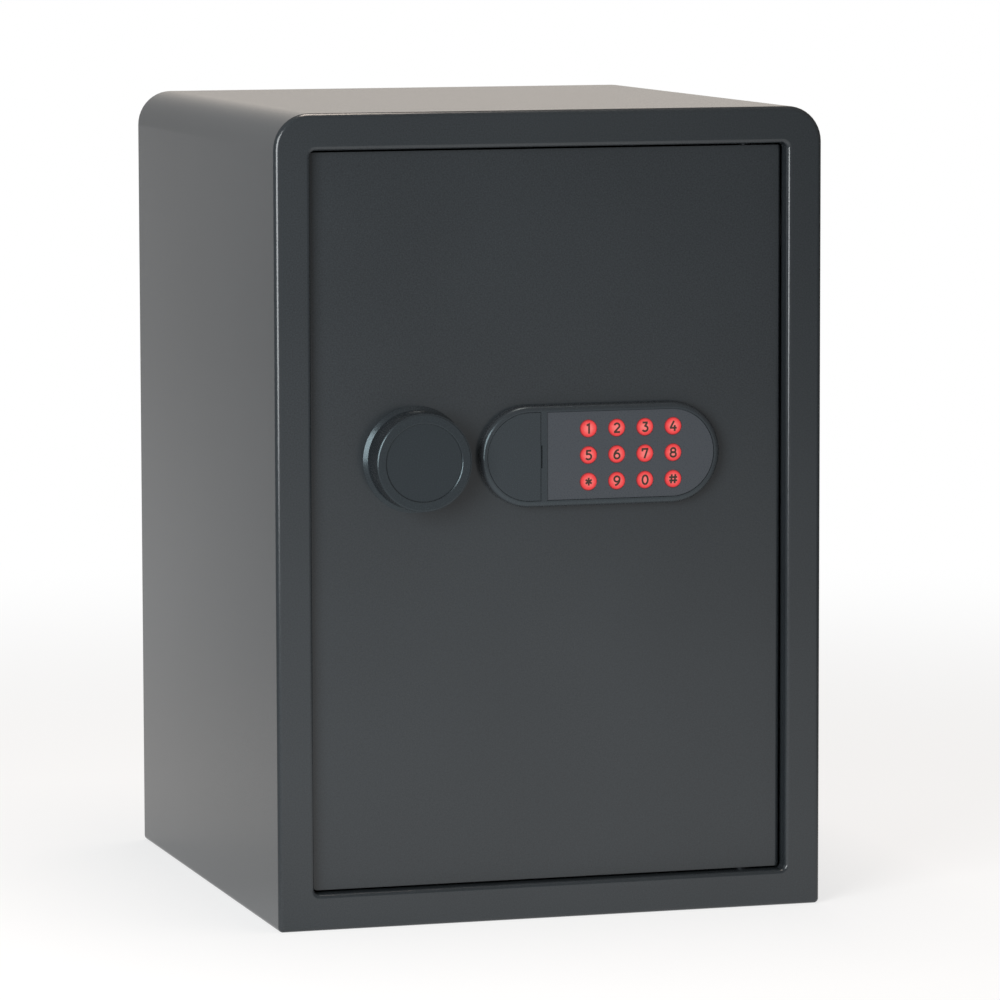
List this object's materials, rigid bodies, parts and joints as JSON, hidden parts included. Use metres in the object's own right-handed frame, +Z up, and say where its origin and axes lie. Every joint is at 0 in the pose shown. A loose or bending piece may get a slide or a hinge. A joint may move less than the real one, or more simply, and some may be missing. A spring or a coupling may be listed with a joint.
{
  "type": "electronic safe",
  "caption": "Free-standing steel safe with a recessed hinged door, round bolt knob, lit keypad, override lock, live bolts, shelf and anchor holes.",
  "frame": {"origin": "middle of the base's underside, where the cabinet stands on the floor", "axes": "+Z up, -Y out of the door's face, +X to the right seen from the front"},
  "size_m": [0.35, 0.374, 0.5],
  "materials": {
    "charcoal_powder_coat": "satin powder coat, fine texture",
    "inner_powder_coat": "satin powder coat",
    "zinc_plated_steel": "zinc plated",
    "turned_steel": "turned",
    "black_oxide_steel": "black oxide",
    "brass": "turned",
    "charcoal_plastic": "moulded, satin",
    "key_panel_plastic": "semi-gloss",
    "lit_key": "translucent, lit from behind",
    "silicone_mat": "matt",
    "circuit_board": "solder mask",
    "coil_winding": "varnished copper winding under tape",
    "black_plastic": "moulded",
    "cell_label": "printed sleeve",
    "lead_sheath": "smooth",
    "red_plastic": "moulded",
    "felt_mat": "needle felt"
  },
  "bodies": {
    "cabinet": {"body_wrap": "charcoal_powder_coat", "front_frame": "charcoal_powder_coat", "back_plate": "charcoal_powder_coat", "door_stops": "charcoal_powder_coat", "hinge_lugs": "charcoal_powder_coat", "hinge_washer": "black_oxide_steel", "shelf": "inner_powder_coat", "shelf_brackets": "inner_powder_coat", "floor_mat": "felt_mat"},
    "door": {"door_plate": "charcoal_powder_coat", "door_pan": "inner_powder_coat", "door_back_cover": "inner_powder_coat", "cover_screws": "zinc_plated_steel", "hinge_blocks": "inner_powder_coat", "hinge_pins": "black_oxide_steel", "bolt_bushes": "brass", "knob_bushing": "brass", "keypad_housing": "charcoal_plastic", "key_panel": "key_panel_plastic", "keypad_board": "circuit_board", "key_mat": "silicone_mat", "keypad_screws": "zinc_plated_steel", "override_lock_body": "zinc_plated_steel", "override_lock_nut": "zinc_plated_steel", "solenoid_frame": "zinc_plated_steel", "solenoid_coil": "coil_winding", "plunger_spring": "turned_steel", "battery_box": "black_plastic", "battery_cells": "cell_label", "battery_contacts": "zinc_plated_steel", "control_board": "circuit_board", "keypad_lead": "lead_sheath", "solenoid_lead": "lead_sheath", "battery_lead": "lead_sheath"},
    "knob": {"knob_grip": "charcoal_plastic", "knob_face": "charcoal_plastic", "knob_shaft": "turned_steel", "cam_disc": "zinc_plated_steel", "crank_pin": "turned_steel"},
    "bolt_work": {"bolt_bar": "zinc_plated_steel", "locking_bolts": "turned_steel", "bolt_screws": "black_oxide_steel"},
    "plunger": {"solenoid_plunger": "turned_steel"},
    "lock_cover": {"override_cover": "charcoal_plastic"},
    "lock_plug": {"override_lock_plug": "brass", "override_cam": "turned_steel"},
    "battery_hatch": {"battery_cover": "black_plastic"},
    "reset": {"reset_button": "red_plastic"},
    "key_1": {"key_1": "lit_key"},
    "key_2": {"key_2": "lit_key"},
    "key_3": {"key_3": "lit_key"},
    "key_4": {"key_4": "lit_key"},
    "key_5": {"key_5": "lit_key"},
    "key_6": {"key_6": "lit_key"},
    "key_7": {"key_7": "lit_key"},
    "key_8": {"key_8": "lit_key"},
    "key_star": {"key_star": "lit_key"},
    "key_9": {"key_9": "lit_key"},
    "key_0": {"key_0": "lit_key"},
    "key_hash": {"key_hash": "lit_key"}
  },
  "joints": [
    {"name": "door_swing", "type": "hinge", "parent": "cabinet", "child": "door", "pos_m": [0.13, -0.1625, 0], "axis": [0, 0, 1], "range_deg": [0, 100]},
    {"name": "knob_turn", "type": "hinge", "parent": "door", "child": "knob", "pos_m": [-0.0855, -0.172, 0.2875], "axis": [0, -1, 0], "range_deg": [0, 80]},
    {"name": "bolt_slide", "type": "slide", "parent": "door", "child": "bolt_work", "axis": [-1, 0, 0], "range_m": [0, 0.02]},
    {"name": "plunger_drop", "type": "slide", "parent": "door", "child": "plunger", "axis": [0, 0, -1], "range_m": [0, 0.007], "deforming": ["plunger_spring"]},
    {"name": "lock_cover_lift", "type": "slide", "parent": "door", "child": "lock_cover", "axis": [0, -1, 0], "range_m": [0, 0.025]},
    {"name": "lock_plug_turn", "type": "hinge", "parent": "door", "child": "lock_plug", "pos_m": [-0.0244, -0.172, 0.2875], "axis": [0, 1, 0], "range_deg": [0, 90]},
    {"name": "battery_hatch_lift", "type": "slide", "parent": "door", "child": "battery_hatch", "axis": [0, 1, 0], "range_m": [0, 0.015]},
    {"name": "reset_press", "type": "slide", "parent": "door", "child": "reset", "axis": [0, -1, 0], "range_m": [0, 0.002], "stiffness_N_per_m": 400},
    {"name": "key_1_press", "type": "slide", "parent": "door", "child": "key_1", "axis": [0, 1, 0], "range_m": [0, 0.001], "stiffness_N_per_m": 500},
    {"name": "key_2_press", "type": "slide", "parent": "door", "child": "key_2", "axis": [0, 1, 0], "range_m": [0, 0.001], "stiffness_N_per_m": 500},
    {"name": "key_3_press", "type": "slide", "parent": "door", "child": "key_3", "axis": [0, 1, 0], "range_m": [0, 0.001], "stiffness_N_per_m": 500},
    {"name": "key_4_press", "type": "slide", "parent": "door", "child": "key_4", "axis": [0, 1, 0], "range_m": [0, 0.001], "stiffness_N_per_m": 500},
    {"name": "key_5_press", "type": "slide", "parent": "door", "child": "key_5", "axis": [0, 1, 0], "range_m": [0, 0.001], "stiffness_N_per_m": 500},
    {"name": "key_6_press", "type": "slide", "parent": "door", "child": "key_6", "axis": [0, 1, 0], "range_m": [0, 0.001], "stiffness_N_per_m": 500},
    {"name": "key_7_press", "type": "slide", "parent": "door", "child": "key_7", "axis": [0, 1, 0], "range_m": [0, 0.001], "stiffness_N_per_m": 500},
    {"name": "key_8_press", "type": "slide", "parent": "door", "child": "key_8", "axis": [0, 1, 0], "range_m": [0, 0.001], "stiffness_N_per_m": 500},
    {"name": "key_star_press", "type": "slide", "parent": "door", "child": "key_star", "axis": [0, 1, 0], "range_m": [0, 0.001], "stiffness_N_per_m": 500},
    {"name": "key_9_press", "type": "slide", "parent": "door", "child": "key_9", "axis": [0, 1, 0], "range_m": [0, 0.001], "stiffness_N_per_m": 500},
    {"name": "key_0_press", "type": "slide", "parent": "door", "child": "key_0", "axis": [0, 1, 0], "range_m": [0, 0.001], "stiffness_N_per_m": 500},
    {"name": "key_hash_press", "type": "slide", "parent": "door", "child": "key_hash", "axis": [0, 1, 0], "range_m": [0, 0.001], "stiffness_N_per_m": 500}
  ],
  "couplings": [
    {"joint": "knob_turn", "follows": "bolt_slide", "rad_per_m": 69.813}
  ]
}
